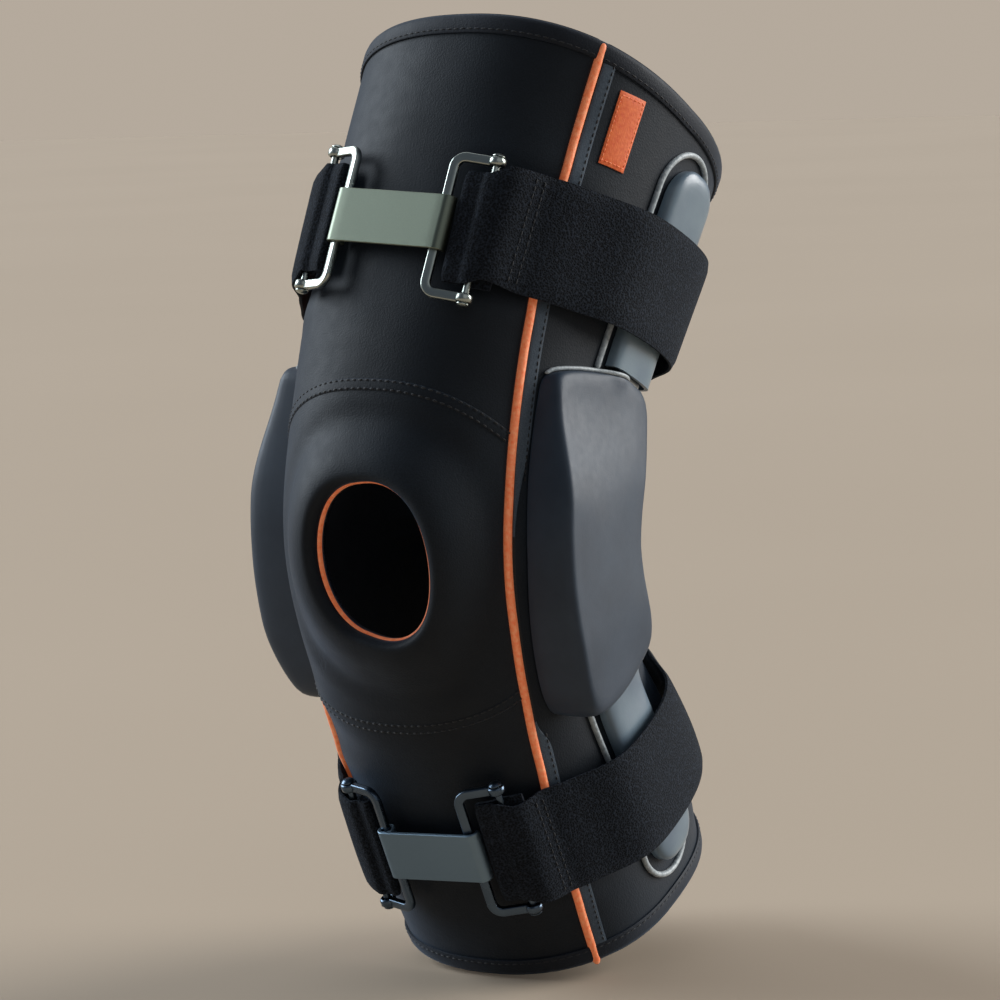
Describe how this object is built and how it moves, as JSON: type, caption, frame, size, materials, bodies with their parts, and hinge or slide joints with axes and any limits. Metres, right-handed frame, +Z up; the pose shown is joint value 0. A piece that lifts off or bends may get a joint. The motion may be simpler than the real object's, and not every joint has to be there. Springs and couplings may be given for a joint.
{
  "type": "hinged knee brace",
  "caption": "Wrap-round neoprene knee brace with an open kneecap, geared side hinges, metal arms in pockets and hook-buckled straps on the thigh and the calf.",
  "frame": {"origin": "middle of the knee, halfway between the two hinges", "axes": "+X to the outside of a left leg, -Y to the front, +Z up towards the thigh"},
  "size_m": [0.1641, 0.1979, 0.3901],
  "materials": {
    "neoprene": "nylon-faced neoprene, matt",
    "binding": "folded elastic edging",
    "orange_trim": "woven trim",
    "grey_piping": "smooth corded piping",
    "strap": "brushed loop webbing",
    "coated_cover": "smooth coated, satin",
    "foam": "closed-cell foam",
    "polished_steel": "polished",
    "dark_steel": "dark nickel, polished",
    "aluminium": "polished",
    "hinge_steel": "brushed"
  },
  "bodies": {
    "thigh": {"thigh_front_panel": "neoprene", "thigh_back_panel": "neoprene", "top_hem": "binding", "label_patch": "orange_trim", "thigh_strap": "strap", "thigh_buckle_lateral_frame": "polished_steel", "thigh_buckle_lateral_pin": "polished_steel", "thigh_buckle_medial_pin": "polished_steel", "lateral_thigh_piping": "orange_trim", "lateral_upper_arm": "aluminium", "lateral_upper_pocket": "coated_cover", "lateral_upper_pocket_piping": "grey_piping", "medial_thigh_piping": "orange_trim", "medial_upper_arm": "aluminium", "medial_upper_pocket": "coated_cover", "medial_upper_pocket_piping": "grey_piping"},
    "lateral_hinge_plate": {"lateral_inner_plate": "hinge_steel", "lateral_outer_plate": "hinge_steel", "lateral_upper_pin": "polished_steel", "lateral_lower_pin": "polished_steel", "lateral_stop_pin": "polished_steel", "lateral_condyle_pad": "foam", "lateral_hinge_cover": "coated_cover", "knee_sleeve": "neoprene", "patella_buttress": "neoprene", "patella_edge_lining": "orange_trim", "lateral_knee_piping": "orange_trim"},
    "medial_hinge_plate": {"medial_inner_plate": "hinge_steel", "medial_outer_plate": "hinge_steel", "medial_upper_pin": "polished_steel", "medial_lower_pin": "polished_steel", "medial_stop_pin": "polished_steel", "medial_condyle_pad": "foam", "medial_hinge_cover": "coated_cover"},
    "calf": {"calf_front_panel": "neoprene", "calf_back_panel": "neoprene", "bottom_hem": "binding", "calf_strap": "strap", "calf_buckle_lateral_frame": "dark_steel", "calf_buckle_lateral_pin": "dark_steel", "calf_buckle_medial_pin": "dark_steel", "lateral_calf_piping": "orange_trim", "lateral_lower_arm": "aluminium", "lateral_lower_pocket": "coated_cover", "lateral_lower_pocket_piping": "grey_piping", "medial_calf_piping": "orange_trim", "medial_lower_arm": "aluminium", "medial_lower_pocket": "coated_cover", "medial_lower_pocket_piping": "grey_piping"},
    "thigh_buckle_frame": {"thigh_buckle_medial_frame": "polished_steel"},
    "thigh_buckle_link": {"thigh_buckle_link": "polished_steel"},
    "calf_buckle_frame": {"calf_buckle_medial_frame": "dark_steel"},
    "calf_buckle_link": {"calf_buckle_link": "dark_steel"}
  },
  "joints": [
    {"name": "lateral_upper_hinge", "type": "hinge", "parent": "thigh", "child": "lateral_hinge_plate", "pos_m": [0.0688, 0, 0.012], "axis": [1, 0, 0], "range_deg": [-26.5, 28.5], "deforming": ["knee_sleeve", "lateral_knee_piping", "lateral_hinge_cover"]},
    {"name": "lateral_lower_hinge", "type": "hinge", "parent": "lateral_hinge_plate", "child": "calf", "pos_m": [0.0688, 0, -0.012], "axis": [1, 0, 0], "range_deg": [-26.5, 28.5]},
    {"name": "medial_upper_hinge", "type": "hinge", "parent": "thigh", "child": "medial_hinge_plate", "pos_m": [-0.0688, 0, 0.012], "axis": [1, 0, 0], "range_deg": [-26.5, 28.5], "deforming": ["medial_hinge_cover"]},
    {"name": "thigh_buckle_frame_swing", "type": "hinge", "parent": "thigh", "child": "thigh_buckle_frame", "pos_m": [-0.04013, -0.02459, 0.13314], "axis": [-0.0806, -0.3784, -0.9221], "range_deg": [0, 45]},
    {"name": "thigh_buckle_link_swing", "type": "hinge", "parent": "thigh_buckle_frame", "child": "thigh_buckle_link", "pos_m": [-0.02438, -0.03151, 0.13461], "axis": [-0.0806, -0.3784, -0.9221], "range_deg": [0, 105]},
    {"name": "calf_buckle_frame_swing", "type": "hinge", "parent": "calf", "child": "calf_buckle_frame", "pos_m": [-0.03091, -0.02362, -0.1207], "axis": [0.0416, 0.3697, -0.9282], "range_deg": [0, 45]},
    {"name": "calf_buckle_link_swing", "type": "hinge", "parent": "calf_buckle_frame", "child": "calf_buckle_link", "pos_m": [-0.01598, -0.02781, -0.1217], "axis": [0.0416, 0.3697, -0.9282], "range_deg": [0, 105]}
  ],
  "couplings": [
    {"joint": "lateral_lower_hinge", "follows": "lateral_upper_hinge", "ratio": 1},
    {"joint": "medial_upper_hinge", "follows": "lateral_upper_hinge", "ratio": 1}
  ]
}
